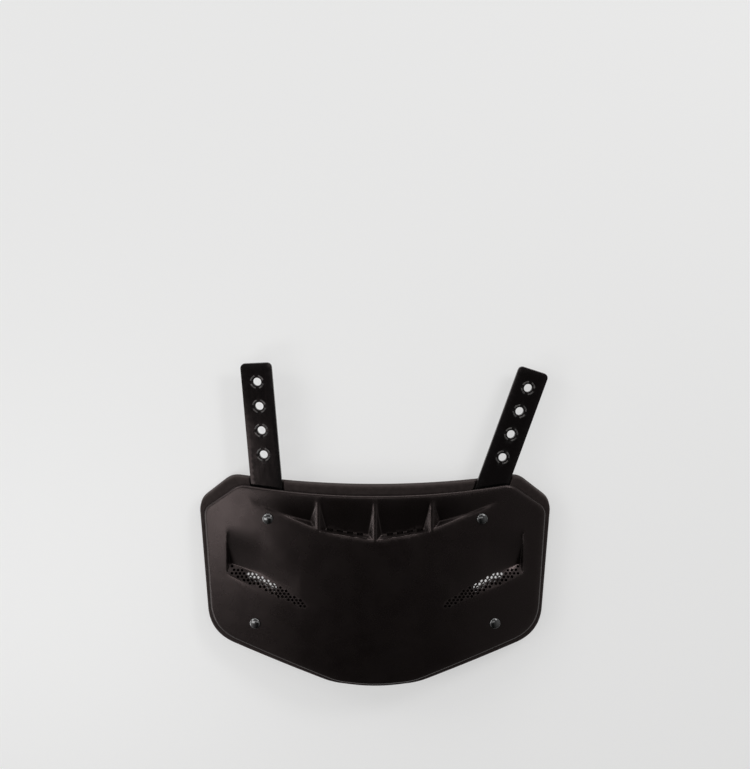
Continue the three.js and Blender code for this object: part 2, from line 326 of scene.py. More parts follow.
def on_axis(rivet, rise):
    """The place in plan of a rivet's axis at a height over its seat."""
    slope_x, slope_y = slopes(*rivet)
    return rivet[0] - rise * slope_x, rivet[1] - rise * slope_y


def leaned(x, y, z, lean):
    """Places in plan at height z, slid along the axes of the rivets that are near."""
    new_x, new_y = x, y
    for rivet in RIVETS.values():
        share = step_share(np.hypot(x - rivet[0], y - rivet[1]) - lean.middle, lean.soft)
        axis_x, axis_y = on_axis(rivet, z - plain_shell_back(*rivet))
        new_x = new_x + share * (axis_x - rivet[0])
        new_y = new_y + share * (axis_y - rivet[1])
    return new_x, new_y


leans = [math.degrees(math.atan(math.hypot(*slopes(*rivet)))) for rivet in RIVETS.values()]
print("rivets lean", [round(lean, 1) for lean in leans], "degrees")

# %% [markdown]
# ## From a field of points to a closed plate
# Shell, pad and straps are all plates: an outline, some holes, a front and a back. A grid with booleans
# would leave ragged edges, so we choose the points ourselves and triangulate them in plan. Points are
# dense where the surface turns, along the rounded edge and the creases, and sparse on plain stretches.
# The same triangles serve the front and the back, and a wall joins the two along every loop.

# %% Points in plan
ROUND_STEPS = 7
CREASE_STEP = 0.6
CREASE_OFFSETS = (0, -0.4, 0.4, -0.9, 0.9)
CREASE_CLEAR = 0.27


def inset(loop, distance):
    """A loop moved to its left, which is into the material."""
    along = np.roll(loop, -1, 0) - np.roll(loop, 1, 0)
    along /= np.linalg.norm(along, axis=1)[:, None]
    return loop + distance * np.stack([-along[:, 1], along[:, 0]], 1)


def edge_rings(loop, radius):
    """Rings inside a loop where a quarter-round edge turns, with the distance of each from the edge."""
    steps = np.linspace(0, math.pi / 2, ROUND_STEPS)[1:]
    return [(inset(loop, d), d) for d in radius * (1 - np.cos(steps))]


def beside(line, offset):
    """A line of points moved sideways."""
    along = np.gradient(line, axis=0)
    along /= np.linalg.norm(along, axis=1)[:, None]
    return line + offset * np.stack([-along[:, 1], along[:, 0]], 1)


def strands(lines):
    """Bundles of points along lines, the middle strand first, with crowded points left out."""
    cells = {}
    kept = []
    for offset in CREASE_OFFSETS:
        for x, y in np.vstack([beside(line, offset) for line in lines]):
            column, row = int(x // CREASE_CLEAR), int(y // CREASE_CLEAR)
            around = [(column + i, row + j) for i in (-1, 0, 1) for j in (-1, 0, 1)]
            near = [cells[cell] for cell in around if cell in cells]
            if all(math.hypot(x - a, y - b) >= CREASE_CLEAR for a, b in near):
                cells[column, row] = (x, y)
                kept.append((x, y))
    return np.array(kept)


def inside(points, loops):
    """True for each point that lies in the material between the loops."""
    x, y = points.T
    crossings = np.zeros(len(points), int)
    for loop in loops:
        for (ax, ay), (bx, by) in zip(loop, np.roll(loop, -1, 0)):
            if ay != by:
                crossings += ((ay > y) != (by > y)) & (x < ax + (bx - ax) * (y - ay) / (by - ay))
    return crossings % 2 == 1


def distances(points, others):
    """Distance of each point from the nearest of the others."""
    tree = kdtree.KDTree(len(others))
    for index, (x, y) in enumerate(others):
        tree.insert((x, y, 0), index)
    tree.balance()
    return np.array([tree.find((x, y, 0))[2] for x, y in points])


def hex_field(loop, spacing):
    """An even field of points over the box of a loop."""
    low, high = loop.min(0), loop.max(0)
    rows = np.arange(low[1], high[1], spacing * math.sqrt(3) / 2)
    across = np.arange(low[0], high[0], spacing)
    return np.vstack([np.stack([across + (i % 2) * spacing / 2, np.full(len(across), y)], 1)
                      for i, y in enumerate(rows)])

# %% Crease lines
def crease_lines(rows, grow=0.0):
    """Lines where a grown scoop turns sharply, on both halves: foot, edge of the ledge, and end walls."""
    low, high = sorted((rows[0].x, rows[-1].x))
    x = np.arange(low, high, CREASE_STEP)
    section = section_at(rows, x)
    lines = [np.stack([x, section.y_deep], 1), np.stack([x, section.y_edge - grow], 1)]
    for end, other in ((rows[0], rows[-1]), (rows[-1], rows[0])):
        if end.x != end.x_deep:
            out = math.copysign(grow, end.x - other.x)
            y = np.arange(end.y_edge, end.y_start, CREASE_STEP)
            floor = (end.y_start - y) / (end.y_start - end.y_deep)
            ledge = (y - end.y_edge) / (end.y_deep - end.y_edge)
            foot = end.x + (end.x_deep - end.x) * np.minimum(floor, ledge)
            lines += [np.stack([np.full(len(y), end.x + out), y], 1), np.stack([foot + out, y], 1)]
    return lines + [line * (-1, 1) for line in lines]


shell_strands = strands([line for rows in SCOOPS for line in crease_lines(rows)])
print(len(shell_strands), "points along the creases of the face")

# %% Closed plates
Edge = namedtuple("Edge", "loop radius")
Ring = namedtuple("Ring", "loop from_edge radius")
Plate = namedtuple("Plate", "points faces")
WHOLE_HULL = 0
SAME_POINT = 1e-5
BACK_EASE = 0.3
FIELD_SHARE = 0.75


def round_drop(distance, radius):
    """How far a rounded edge lies under its face at a distance from the edge."""
    run = np.clip(radius - distance, 0, radius)
    return radius - np.sqrt(radius**2 - run**2)


def in_material(triangles, walls):
    """The triangles left of the walls, found by spreading from the walls without crossing one."""
    owner = {}
    for index, (a, b, c) in enumerate(triangles):
        owner[a, b] = owner[b, c] = owner[c, a] = index
    kept = {owner[wall] for wall in walls}
    waiting = list(kept)
    fixed = set(walls)
    while waiting:
        a, b, c = triangles[waiting.pop()]
        for edge in {(a, b), (b, c), (c, a)} - fixed:
            beyond = owner[edge[::-1]]
            if beyond not in kept:
                kept.add(beyond)
                waiting.append(beyond)
    return [triangles[index] for index in sorted(kept)]


def plate(edges, creases, spacing, front, back, lean=None):
    """A closed plate between two height functions, with the first edge round it and the rest as holes."""
    loops = [edge.loop for edge in edges]
    rings = [Ring(edge.loop, 0.0, edge.radius) for edge in edges]
    rings += [Ring(loop, d, edge.radius) for edge in edges for loop, d in edge_rings(*edge)]
    firm = np.vstack([ring.loop for ring in rings])
    drops = [np.full(len(ring.loop), round_drop(ring.from_edge, ring.radius)) for ring in rings]
    inner = firm[:0]
    for field, clear in ((creases, CREASE_STEP), (hex_field(loops[0], spacing), FIELD_SHARE * spacing)):
        if len(field):
            field = field[inside(field, loops)]
            inner = np.vstack([inner, field[distances(field, np.vstack([firm, inner])) > clear]])
    points = np.vstack([firm, inner])
    drop = np.concatenate([*drops, np.zeros(len(inner))])
    starts = np.cumsum([0, *map(len, loops)])
    walls = [(s + i, s + (i + 1) % len(loop)) for s, loop in zip(starts, loops) for i in range(len(loop))]
    flat = delaunay_2d_cdt([Vector(p) for p in points], walls, [], WHOLE_HULL, SAME_POINT)
    triangles = np.array(in_material(flat[2], walls))
    sides = []
    for surface, ease in ((front, -1), (back, BACK_EASE)):
        x, y = points.T
        if lean:
            x, y = leaned(x, y, surface(x, y), lean)
        sides.append(np.stack([x, y, surface(x, y) + ease * drop], 1))
    count = len(points)
    faces = [*triangles.tolist(), *(triangles[:, ::-1] + count).tolist()]
    faces += [(a + count, b + count, b, a) for a, b in walls]
    return Plate(np.vstack(sides), faces)

# %% Pieces
def new_piece(name, points, faces, edges=()):
    """An object at the origin, with its place in its mesh. Points are in metres."""
    mesh = bpy.data.meshes.new(name)
    mesh.from_pydata([tuple(p) for p in points], edges, faces)
    piece = bpy.data.objects.new(name, mesh)
    bpy.context.scene.collection.objects.link(piece)
    return piece


def in_frame(points):
    """Points given in millimetres from the datum, in metres in the frame."""
    return (points + (0, SHIFT_Y, 0)) * MM


def open_edges(piece):
    """Number of edges that don't have exactly two faces."""
    corners = np.zeros(len(piece.data.loops), int)
    piece.data.loops.foreach_get("edge_index", corners)
    return int((np.bincount(corners, minlength=len(piece.data.edges)) != 2).sum())


def report(piece):
    print(piece.name, len(piece.data.polygons), "faces,", open_edges(piece), "open edges")

# %% [markdown]
# ## The moulded shell
# The shell is three millimetres of hard plastic with a rounded edge that catches a thin line of light all
# the way round. Its four rivet holes lean with the arch. Its front follows the face and its back follows
# the same scoops grown by the wall, so that the wall keeps its thickness round every bend.

# %% Shell
SHELL_ROUND = 2.2
SHELL_FIELD = 1.9
RIVET_HOLE = 2.9
HOLE_SIDES = 24
HOLE_ROUND = 0.3
SHELL_LEAN = Lean(5.0, 1.5)


def hole(x, y, radius, sides=HOLE_SIDES):
    """The edge of a round hole. It runs clockwise, with the material at its left."""
    return Edge(circle_loop(x, y, radius, sides)[::-1], HOLE_ROUND)


rivet_holes = [hole(*place, RIVET_HOLE) for place in RIVETS.values()]
shell_edges = [Edge(shell_loop, SHELL_ROUND), *rivet_holes]
shell_plate = plate(shell_edges, shell_strands, SHELL_FIELD, shell_front, shell_back, SHELL_LEAN)
shell = new_piece("moulded_shell", in_frame(shell_plate.points), shell_plate.faces)
report(shell)

# %% [markdown]
# ## A small kit for node trees
# The vents, the rings round the strap holes and the rivets all repeat by a rule, so Geometry Nodes place
# them. A few helpers keep the trees short: they add a node, fill or link its inputs, and start and end a
# tree with named inputs. Another runs a tree on a piece, with the inputs set by their identifiers, and
# keeps the result as a plain mesh, because what is exported has to hold real faces and no live instances.

# %% Node helpers
SOCKETS = {float: "NodeSocketFloat", int: "NodeSocketInt", Vector: "NodeSocketVector"}


def fill(tree, node, inputs):
    """Fills or links a node's inputs, which are named or numbered."""
    for name, value in dict(inputs).items():
        if isinstance(value, bpy.types.NodeSocket):
            tree.links.new(value, node.inputs[name])
        else:
            node.inputs[name].default_value = value


def add_node(tree, kind, inputs=(), **options):
    """Adds a node, sets its options and fills its inputs."""
    node = tree.nodes.new(kind)
    for option, value in options.items():
        setattr(node, option, value)
    fill(tree, node, inputs)
    return node


def shape(tree, kind, inputs=(), **options):
    """Adds a geometry node and gives its first output."""
    return add_node(tree, "GeometryNode" + kind, inputs, **options).outputs[0]


def calculate(tree, operation, *values):
    """The output of a math node."""
    return add_node(tree, "ShaderNodeMath", enumerate(values), operation=operation).outputs[0]


def position(tree, axis):
    """One coordinate of each point."""
    return add_node(tree, "ShaderNodeSeparateXYZ", {0: shape(tree, "InputPosition")}).outputs[axis]


def vector_of(tree, **axes):
    """A vector with the given coordinates, and nothing along the other axes."""
    return add_node(tree, "ShaderNodeCombineXYZ", axes).outputs[0]


def about_z(tree, angle):
    """A turn about Z."""
    values = {"Axis": (0, 0, 1), "Angle": angle}
    return add_node(tree, "FunctionNodeAxisAngleToRotation", values).outputs[0]


# %% Trees with named inputs
def start_tree(name, values):
    """A tree that takes a mesh, the named values and a material, and the sockets that they come in by."""
    tree = bpy.data.node_groups.new(name, "GeometryNodeTree")
    kinds = {label: SOCKETS[type(value)] for label, value in values.items()}
    kinds = {"Geometry": "NodeSocketGeometry", **kinds, "Material": "NodeSocketMaterial"}
    for label, kind in kinds.items():
        tree.interface.new_socket(label, in_out="INPUT", socket_type=kind)
    tree.interface.new_socket("Geometry", in_out="OUTPUT", socket_type="NodeSocketGeometry")
    return tree, tree.nodes.new("NodeGroupInput").outputs


def end_tree(tree, geometry, material):
    """Realizes what the tree made, gives it its material and hands it out."""
    real = shape(tree, "RealizeInstances", {"Geometry": geometry})
    dressed = shape(tree, "SetMaterial", {"Geometry": real, "Material": material})
    add_node(tree, "NodeGroupOutput", {0: dressed})
    print("tree", tree.name, "has", len(tree.nodes), "nodes")


def run_tree(piece, tree, values):
    """Runs a tree on a piece and keeps the result as its plain mesh."""
    modifier = piece.modifiers.new(tree.name, "NODES")
    modifier.node_group = tree
    for item in tree.interface.items_tree:
        if item.in_out == "INPUT" and item.name in values:
            modifier[item.identifier] = values[item.name]
    made = bpy.data.meshes.new_from_object(piece.evaluated_get(bpy.context.evaluated_depsgraph_get()))
    piece.modifiers.remove(modifier)
    piece.data = made


def combine(tree, operation, first, others):
    """A boolean of closed meshes. What is cut comes first, and a union takes all of them alike."""
    boolean = add_node(tree, "GeometryNodeMeshBoolean", operation=operation, solver="MANIFOLD")
    tree.links.new(first, boolean.inputs["Mesh 1" if operation == "DIFFERENCE" else "Mesh 2"])
    for mesh in others:
        real = shape(tree, "RealizeInstances", {"Geometry": mesh})
        tree.links.new(real, boolean.inputs["Mesh 2"])
    return boolean.outputs["Mesh"]

# %% [markdown]
# ## Finishes that follow an edge
# Handling polishes the high edges of black plastic and metal to a slightly lighter, smoother line. A
# material can't see how sharp an edge is, so we measure it once on the finished mesh: at each point we
# take the sharpest outward turn along its edges and keep it as an attribute, which the materials read.

# %% Edge wear attribute
WEAR_TURN = 0.5
SHARP = math.radians(38)
TINY = 1e-12


def vectors(items, name):
    """A property of mesh elements as rows of three numbers."""
    flat = np.zeros(len(items) * 3)
    items.foreach_get(name, flat)
    return flat.reshape(-1, 3)


def smooth(piece):
    """Shades a piece smoothly up to its sharp edges."""
    piece.data.shade_smooth()
    piece.data.set_sharp_from_angle(angle=SHARP)


def smooth_with_wear(piece):
    """Shades a piece smoothly, and stores how strongly each of its points stands out."""
    smooth(piece)
    mesh = piece.data
    points, normals = vectors(mesh.vertices, "co"), vectors(mesh.vertices, "normal")
    ends = np.zeros(len(mesh.edges) * 2, int)
    mesh.edges.foreach_get("vertices", ends)
    one, two = ends.reshape(-1, 2).T
    way = points[two] - points[one]
    way /= np.linalg.norm(way, axis=1)[:, None] + TINY
    turn = np.einsum("ij,ij->i", normals[two] - normals[one], way)
    wear = np.zeros(len(points))
    np.maximum.at(wear, one, turn)
    np.maximum.at(wear, two, turn)
    stored = mesh.attributes.new("edge_wear", "FLOAT", "POINT")
    stored.data.foreach_set("value", np.clip(wear / WEAR_TURN, 0, 1).astype(np.float32))


print("edges that turn more than", round(math.degrees(SHARP)), "degrees stay crisp")

# %% [markdown]
# ## Four finishes
# Every finish is procedural and sized in metres on Object coordinates, so its grain has the real scale.
# Numbers that are the same all over sit on the shader itself. The shell is satin black with a fine
# moulded grain and a faint unevenness, as thick mouldings have. The straps are glossier, with streaks
# along their length and a pale painted highlight on the raised arcs round their holes. The foam is dull
# charcoal with a pebbled skin. The rivets are metal under a glossy black coat that is thin on their domes.

# %% Material helpers
DETAIL = 2.0
Patch = namedtuple("Patch", "size low high detail", defaults=[DETAIL])
Relief = namedtuple("Relief", "size depth strength detail", defaults=[DETAIL])
NOISE_RANGE = {"From Min": 0.3, "From Max": 0.7}


def start_material(name):
    """A material with an empty tree apart from its shader."""
    material = bpy.data.materials.new(name)
    material.use_nodes = True
    tree = material.node_tree
    place = add_node(tree, "ShaderNodeTexCoord").outputs["Object"]
    return material, tree, tree.nodes["Principled BSDF"], place


def attribute(tree, name):
    return add_node(tree, "ShaderNodeAttribute", attribute_name=name).outputs


def noise(tree, place, texture):
    """Noise whose blotches are about as large as a patch or relief, in metres."""
    values = {"Vector": place, "Scale": 1 / texture.size, "Detail": texture.detail}
    return add_node(tree, "ShaderNodeTexNoise", values).outputs["Fac"]


def spread(tree, value, low, high):
    """A noise value spread over a range."""
    values = {"Value": value, **NOISE_RANGE, "To Min": low, "To Max": high}
    return add_node(tree, "ShaderNodeMapRange", values).outputs["Result"]


def patches(tree, place, patch):
    """Soft patches of one size, with values from low to high."""
    return spread(tree, noise(tree, place, patch), patch.low, patch.high)


def rubbed(tree, place, patch):
    """How far the edges are rubbed, more in some patches than in others."""
    wear = attribute(tree, "edge_wear")["Fac"]
    return calculate(tree, "MULTIPLY", wear, patches(tree, place, patch))


def blend(tree, share, dark, light):
    """A colour between two others."""
    node = add_node(tree, "ShaderNodeMix", data_type="RGBA")
    colours = [socket for socket in node.inputs if socket.type == "RGBA"]
    for socket, colour in zip(colours, (dark, light)):
        if isinstance(colour, bpy.types.NodeSocket):
            tree.links.new(colour, socket)
        else:
            socket.default_value = (*colour, 1)
    tree.links.new(share, node.inputs["Factor"])
    return next(socket for socket in node.outputs if socket.type == "RGBA")


def bumps(tree, shader, layers):
    """Stacks layers of bump on a shader, each a height and the relief that it gives."""
    normal = None
    for height, relief in layers:
        values = {"Height": height, "Distance": relief.depth, "Strength": relief.strength}
        if normal:
            values["Normal"] = normal
        normal = add_node(tree, "ShaderNodeBump", values).outputs["Normal"]
    tree.links.new(normal, shader.inputs["Normal"])


def tell(material):
    print("finish", material.name, "has", len(material.node_tree.nodes), "nodes")

# %% Shell plastic
SHELL_BLACK = (0.0030, 0.0022, 0.0020)
SHELL_HAZE = (0.0052, 0.0040, 0.0038)
SHELL_RUBBED = (0.016, 0.013, 0.0125)
WARM_GLOSS = (1.0, 0.80, 0.78, 1.0)
HAZE_PATCH = Patch(0.035, 0, 1)
SHELL_RUB = Patch(0.006, 0.35, 1)
SHELL_ROUGHNESS = Patch(0.02, 0.25, 0.3)
SHELL_GLOSS = {"Specular IOR Level": 0.45, "Specular Tint": WARM_GLOSS}
SHELL_WAVE = Relief(0.018, 0.0004, 0.3, 1)
SHELL_GRAIN = Relief(0.0007, 0.00012, 0.13, 3)


def shell_plastic():
    material, tree, shader, place = start_material("shell_plastic")
    black = blend(tree, patches(tree, place, HAZE_PATCH), SHELL_BLACK, SHELL_HAZE)
    colour = blend(tree, rubbed(tree, place, SHELL_RUB), black, SHELL_RUBBED)
    fill(tree, shader, {"Base Color": colour, "Roughness": patches(tree, place, SHELL_ROUGHNESS)})
    fill(tree, shader, SHELL_GLOSS)
    bumps(tree, shader, [(noise(tree, place, relief), relief) for relief in (SHELL_WAVE, SHELL_GRAIN)])
    return material


SHELL_PLASTIC = shell_plastic()
tell(SHELL_PLASTIC)

# %% Foam
FOAM_DARK = (0.0205, 0.0160, 0.0152)
FOAM_LIGHT = (0.0310, 0.0245, 0.0234)
FOAM_MOTTLE = Patch(0.004, 0, 1, 4)
FOAM_ROUGHNESS = Patch(0.012, 0.84, 0.95)
FOAM_GLOSS = {"Specular IOR Level": 0.15, "Specular Tint": WARM_GLOSS}
FOAM_SHEEN = {"Sheen Weight": 0.05, "Sheen Roughness": 0.5, "Sheen Tint": WARM_GLOSS}
FOAM_DENT = Relief(0.009, 0.0006, 0.3)
FOAM_CELL = Relief(0.0011, 0.0004, 0.4)


def pad_foam():
    material, tree, shader, place = start_material("pad_foam")
    colour = blend(tree, patches(tree, place, FOAM_MOTTLE), FOAM_DARK, FOAM_LIGHT)
    fill(tree, shader, {"Base Color": colour, "Roughness": patches(tree, place, FOAM_ROUGHNESS)})
    fill(tree, shader, {**FOAM_GLOSS, **FOAM_SHEEN})
    cells = add_node(tree, "ShaderNodeTexVoronoi", {"Vector": place, "Scale": 1 / FOAM_CELL.size})
    pits = calculate(tree, "MULTIPLY", cells.outputs["Distance"], -1)
    bumps(tree, shader, [(noise(tree, place, FOAM_DENT), FOAM_DENT), (pits, FOAM_CELL)])
    return material


PAD_FOAM = pad_foam()
tell(PAD_FOAM)

# %% Strap plastic
STRAP_BLACK = (0.0018, 0.0017, 0.0018)
STRAP_RUBBED = (0.022, 0.021, 0.021)
# The pale grey painted on the raised arcs is a painted highlight, standing in for the glints on them.
STRAP_PAINTED_HIGHLIGHT = (0.11, 0.107, 0.105)
STRAP_FRONT = -2.5
ARC_RISE = 0.8
HIGHLIGHT_FULL_RISE = 0.6
STRAP_RUB = Patch(0.004, 0.2, 0.8)
ARC_HIGHLIGHT_PATCH = Patch(0.0025, 0.25, 1)
STRAP_ROUGHNESS = (0.13, 0.19)
STRAP_GLOSS = {"Specular IOR Level": 0.26, "Specular Tint": WARM_GLOSS}
STREAK_SIZE = (0.0006, 0.03, 0.0006)
STRAP_WAVE = Relief(0.014, 0.0004, 0.4, 1)
STRAP_STREAK = Relief(1, 0.00001, 0.2)


def strap_plastic():
    material, tree, shader, place = start_material("strap_plastic")
    along = attribute(tree, "strap_place")["Vector"]
    scale = [1 / size for size in STREAK_SIZE]
    stretched = add_node(tree, "ShaderNodeMapping", {"Vector": along, "Scale": scale}).outputs["Vector"]
    streaks = noise(tree, stretched, STRAP_STREAK)
    height = add_node(tree, "ShaderNodeSeparateXYZ", {0: along}).outputs["Z"]
    # Painted highlight: the raised arcs are blended towards the pale grey by their height, patchy across
    # them.
    highlight_top = (STRAP_FRONT + HIGHLIGHT_FULL_RISE * ARC_RISE) * MM
    raised = {"Value": height, "From Min": STRAP_FRONT * MM, "From Max": highlight_top}
    proud = add_node(tree, "ShaderNodeMapRange", raised).outputs["Result"]
    arc_highlight = calculate(tree, "MULTIPLY", proud, patches(tree, place, ARC_HIGHLIGHT_PATCH))
    black = blend(tree, rubbed(tree, place, STRAP_RUB), STRAP_BLACK, STRAP_RUBBED)
    colour = blend(tree, arc_highlight, black, STRAP_PAINTED_HIGHLIGHT)
    fill(tree, shader, {"Base Color": colour, "Roughness": spread(tree, streaks, *STRAP_ROUGHNESS)})
    fill(tree, shader, STRAP_GLOSS)
    bumps(tree, shader, [(noise(tree, place, STRAP_WAVE), STRAP_WAVE), (streaks, STRAP_STREAK)])
    return material


STRAP_PLASTIC = strap_plastic()
tell(STRAP_PLASTIC)

# %% Rivet metal
RIVET_DARK = (0.003, 0.0028, 0.0027)
RIVET_BRIGHT = (0.010, 0.0096, 0.0094)
RIVET_RUB = Patch(0.002, 0.2, 1)
RIVET_THIN = Patch(0.006, 0, 0.3)
RIVET_ROUGHNESS = Patch(0.003, 0.16, 0.2)
RIVET_GLOSS = {"Specular IOR Level": 1.0, "IOR": 1.7}
RIVET_PITS = Relief(0.0016, 0.000006, 0.3)


def rivet_metal():
    material, tree, shader, place = start_material("rivet_metal")
    worn = calculate(tree, "MAXIMUM", rubbed(tree, place, RIVET_RUB), patches(tree, place, RIVET_THIN))
    colour = blend(tree, worn, RIVET_DARK, RIVET_BRIGHT)
    fill(tree, shader, {"Base Color": colour, "Roughness": patches(tree, place, RIVET_ROUGHNESS)})
    fill(tree, shader, RIVET_GLOSS)
    bumps(tree, shader, [(noise(tree, place, RIVET_PITS), RIVET_PITS)])
    return material


RIVET_METAL = rivet_metal()
tell(RIVET_METAL)

# %% [markdown]
# ## Vents in the side ledges
# Each side ledge is drilled with a honeycomb of small countersunk holes. We mark the ledge on the shell
# with an attribute that is positive inside its margins, lay a staggered grid of points over it, drop
# every point straight down onto the shell, and keep those that land inside. A cylinder and a shallow cone
# at each kept point, turned to the surface, are then cut out of the shell. Drilling along the surface
# keeps the holes round, as a tool would.

# %% Ledges marked on the shell
VENT = {
    "Columns": 19,
    "Rows": 15,
    "Pitch": 3.45 * MM,
    "Row Step": 2.55 * MM,
    "Hole Radius": 1.25 * MM,
    "Rim Radius": 1.6 * MM,
    "Rim Depth": 0.7 * MM,
    "Hole Depth": 14 * MM,
}
VENT_FIRST_X = 60.0
VENT_LAST_X = VENT_FIRST_X + (VENT["Columns"] - 1) * VENT["Pitch"] / MM
VENT_MARGIN = 1.4


def mark_ledge(piece):
    """Stores how far each point of the shell lies inside the margins of the side ledges."""
    points = vectors(piece.data.vertices, "co") / MM
    x, y = np.abs(points[:, 0]), points[:, 1] - SHIFT_Y
    section = section_at(SIDE_SCOOP, x)
    sides = [section.y_deep - y, y - section.y_edge]
    ends = [x - VENT_FIRST_X + 2 * VENT_MARGIN, VENT_LAST_X + 2 * VENT_MARGIN - x]
    within = np.minimum.reduce(sides + ends) - VENT_MARGIN
    ledge = piece.data.attributes.new("ledge", "FLOAT", "POINT")
    ledge.data.foreach_set("value", within.astype(np.float32))
    print((within > 0).sum(), "points lie on the ledges")


mark_ledge(shell)

# %% Points that land on the shell
RAY_HEIGHT = 60 * MM
RAY = {"Ray Direction": (0, 0, -1), "Ray Length": 100 * MM}


def both_sides(tree, points):
    """The points and their mirror image across the plate."""
    mirror = shape(tree, "Transform", {"Geometry": points, "Scale": (-1, 1, 1)})
    joined = add_node(tree, "GeometryNodeJoinGeometry", {"Geometry": mirror})
    tree.links.new(points, joined.inputs["Geometry"])
    return joined.outputs[0]


def land_on(tree, mesh):
    """A ray straight down onto the mesh from each point."""
    ledge = shape(tree, "InputNamedAttribute", {"Name": "ledge"}, data_type="FLOAT")
    values = {"Target Geometry": mesh, "Attribute": ledge, **RAY}
    return add_node(tree, "GeometryNodeRaycast", values, data_type="FLOAT").outputs


def vent_points(tree, given):
    """A staggered grid of points over the ledge on each side of the plate."""
    width, height = (calculate(tree, "MULTIPLY", given[step], calculate(tree, "SUBTRACT", given[count], 1))
                     for step, count in (("Pitch", "Columns"), ("Row Step", "Rows")))
    counts = {"Vertices X": given["Columns"], "Vertices Y": given["Rows"]}
    grid = shape(tree, "MeshGrid", {"Size X": width, "Size Y": height, **counts})
    row = calculate(tree, "ROUND", calculate(tree, "DIVIDE", position(tree, "Y"), given["Row Step"]))
    stagger = calculate(tree, "MULTIPLY", calculate(tree, "FLOORED_MODULO", row, 2), given["Pitch"])
    offset = vector_of(tree, X=calculate(tree, "DIVIDE", stagger, 2))
    field = shape(tree, "SetPosition", {"Geometry": grid, "Offset": offset})
    placed = shape(tree, "Transform", {"Geometry": field, "Translation": given["Centre"]})
    return shape(tree, "MeshToPoints", {"Mesh": both_sides(tree, placed)})


# %% Perforated ledges
VENT_SIDES = 14
VENT_LIFT = (0, 0, 0.1 * MM)
RIM_SUNK = -0.6


def vent_tree():
    tree, given = start_tree("perforated_ledges", {**VENT, "Centre": Vector()})
    points = vent_points(tree, given)
    ray = land_on(tree, given["Geometry"])
    chosen = calculate(tree, "GREATER_THAN", ray["Attribute"], 0)
    onto = {"Geometry": points, "Position": ray["Hit Position"], "Offset": VENT_LIFT}
    normal = {"Vector": ray["Hit Normal"]}
    turn = add_node(tree, "FunctionNodeAlignRotationToVector", normal, axis="Z").outputs[0]
    common = {"Points": shape(tree, "SetPosition", onto), "Selection": chosen, "Rotation": turn}
    drill = {"Vertices": VENT_SIDES, "Radius": given["Hole Radius"], "Depth": given["Hole Depth"]}
    cone = {"Vertices": VENT_SIDES, "Radius Bottom": 0, "Depth": given["Rim Depth"]}
    sunk = vector_of(tree, Z=calculate(tree, "MULTIPLY", given["Rim Depth"], RIM_SUNK))
    rim = shape(tree, "MeshCone", {**cone, "Radius Top": given["Rim Radius"]})
    tools = [shape(tree, "MeshCylinder", drill),
             shape(tree, "Transform", {"Geometry": rim, "Translation": sunk})]
    cutters = [shape(tree, "InstanceOnPoints", {**common, "Instance": tool}) for tool in tools]
    end_tree(tree, combine(tree, "DIFFERENCE", given["Geometry"], cutters), given["Material"])
    return tree


vent_x = (VENT_FIRST_X + VENT_LAST_X) / 2
vent_y = SIDE_SCOOP[0].y_deep - (VENT["Rows"] - 1) * VENT["Row Step"] / MM / 2
vent_centre = [vent_x * MM, (vent_y + SHIFT_Y) * MM, RAY_HEIGHT]
run_tree(shell, vent_tree(), {**VENT, "Centre": vent_centre, "Material": SHELL_PLASTIC})
report(shell)

# %% [markdown]
# ## Slots in the top bays
# At the foot of each top bay lie four short slots, and just below the bay's edge three finer slits. They
# are rows with an even step, so one tree serves both: a line of points on each side, dropped onto the
# shell, with a box at each point that is cut out. The finer slits are only scored into the face.

# %% Slots and slits
SLOTS = {"Count": 4, "First": (12.7, 38.9), "Pitch": 8.47, "Rise": 0.13, "Size": (5.5, 1.8, 16)}
SLITS = {"Count": 3, "First": (10.6, 36.3), "Pitch": 10.7, "Rise": 0.18, "Size": (7.7, 0.6, 1.6)}


def slot_tree():
    values = {"Count": 1, "Start": Vector(), "Step": Vector(), "Size": Vector(), "Turn": 0.0}
    tree, given = start_tree("slot_rows", values)
    line = {"Count": given["Count"], "Start Location": given["Start"], "Offset": given["Step"]}
    row = shape(tree, "MeshLine", line, mode="OFFSET")
    points = shape(tree, "MeshToPoints", {"Mesh": both_sides(tree, row)})
    ray = land_on(tree, given["Geometry"])
    landed = shape(tree, "SetPosition", {"Geometry": points, "Position": ray["Hit Position"]})
    side = calculate(tree, "SIGN", position(tree, "X"))
    turn = about_z(tree, calculate(tree, "MULTIPLY", given["Turn"], side))
    box = shape(tree, "MeshCube", {"Size": given["Size"]})
    cutters = shape(tree, "InstanceOnPoints", {"Points": landed, "Instance": box, "Rotation": turn})
    end_tree(tree, combine(tree, "DIFFERENCE", given["Geometry"], [cutters]), given["Material"])
    return tree


SLOT_TREE = slot_tree()
for row in (SLOTS, SLITS):
    first_x, first_y = row["First"]
    values = {
        "Count": row["Count"],
        "Start": [first_x * MM, (first_y + SHIFT_Y) * MM, RAY_HEIGHT],
        "Step": [row["Pitch"] * MM, row["Pitch"] * row["Rise"] * MM, 0],
        "Size": [side * MM for side in row["Size"]],
        "Turn": math.atan(row["Rise"]),
        "Material": SHELL_PLASTIC,
    }
    run_tree(shell, SLOT_TREE, values)
    report(shell)
smooth_with_wear(shell)

# %% [markdown]
# ## Seats for straps and rivets
# Straps and rivets stand square to the plate where they are fastened, so each has a seat: a frame with
# its origin on the back of the plain shell and its Z along the outward normal there. A strap lies in that
# frame, turned by its own lean, and the same frames tell the pad where to make room.

# %% Seats
STRAP_WIDTH = 27.0
STRAP_ABOVE = 133.5
STRAP_THICK = 2.6
STRAP_BACK = STRAP_FRONT - STRAP_THICK
STRAP_CORNER = 4.0
STRAP_ROOM = 1.4
STRAP_LEAN = {"strap_left": ("rivet_upper_left", 4.6), "strap_right": ("rivet_upper_right", -19.8)}


